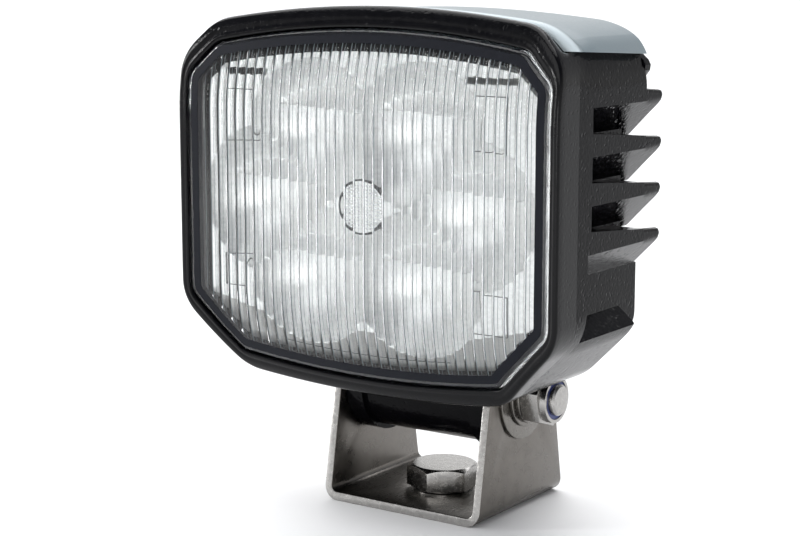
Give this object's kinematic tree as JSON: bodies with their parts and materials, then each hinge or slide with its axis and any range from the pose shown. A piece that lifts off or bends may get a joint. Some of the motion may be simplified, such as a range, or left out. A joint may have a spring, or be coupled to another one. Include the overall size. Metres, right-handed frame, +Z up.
{
  "type": "fog light",
  "caption": "Compact rectangular fog light with a cast finned housing, fluted lens and tilting U bracket on a single bolt.",
  "frame": {"origin": "on the axis of the mounting bolt, in the plane of the bracket underside", "axes": "+Z up along the mounting bolt, the lens faces -Y, +X runs along the pivot bolt towards its nut"},
  "size_m": [0.112, 0.0616, 0.1352],
  "materials": {
    "bolt_steel": "plain stainless steel, satin",
    "bracket_steel": "stainless sheet, brushed",
    "washer_steel": "bright stainless steel",
    "sleeve_steel": "turned steel",
    "blue_nylon": "dark blue nylon",
    "black_coat": "black textured powder coat on cast aluminium",
    "grey_coat": "silver grey coat, fine texture",
    "clear_lens": "clear, polished",
    "seal_rubber": "matt rubber",
    "mirror_metal": "vacuum metallised",
    "cap_grey": "dotted grey disc",
    "led_phosphor": "yellow phosphor under a clear dome",
    "white_board": "white solder mask",
    "pad_pink": "soft thermal pad",
    "bare_aluminium": "milled",
    "lead_red": "insulated wire",
    "green_board": "green solder mask",
    "ferrite": "pressed ferrite",
    "capacitor_sleeve": "sleeved can",
    "chip_black": "moulded package",
    "black_plastic": "moulded, matt",
    "contact_brass": "plain contact metal",
    "membrane_white": "porous membrane"
  },
  "bodies": {
    "mount": {"mounting_bolt": "bolt_steel"},
    "bracket": {"bracket": "bracket_steel", "pivot_bolt": "bolt_steel", "head_washer": "washer_steel", "large_washer": "washer_steel", "small_washer": "washer_steel", "spring_washer": "washer_steel", "lock_nut": "bolt_steel", "nut_insert": "blue_nylon"},
    "head": {"housing": "black_coat", "pivot_sleeve": "sleeve_steel", "top_cover": "grey_coat", "lens": "clear_lens", "lens_seal": "seal_rubber", "reflector": "mirror_metal", "centre_cap": "cap_grey", "centre_screw": "bolt_steel", "leds": "led_phosphor", "led_board": "white_board", "thermal_pad": "pad_pink", "heat_spreader": "bare_aluminium", "spreader_screws": "bolt_steel", "led_leads": "lead_red", "driver_board": "green_board", "driver_screws": "bolt_steel", "inductor": "ferrite", "capacitors": "capacitor_sleeve", "driver_chips": "chip_black", "connector_gasket": "seal_rubber", "connector_shell": "black_plastic", "connector_screws": "bolt_steel", "contact_pins": "contact_brass", "vent_cap": "black_plastic", "vent_membrane": "membrane_white"}
  },
  "joints": [
    {"name": "bracket_pan", "type": "hinge", "parent": "mount", "child": "bracket", "pos_m": [0, 0, 0], "axis": [0, 0, 1], "continuous": true},
    {"name": "head_tilt", "type": "hinge", "parent": "bracket", "child": "head", "pos_m": [0, 0, 0.0305], "axis": [1, 0, 0], "range_deg": [-50, 45]}
  ]
}
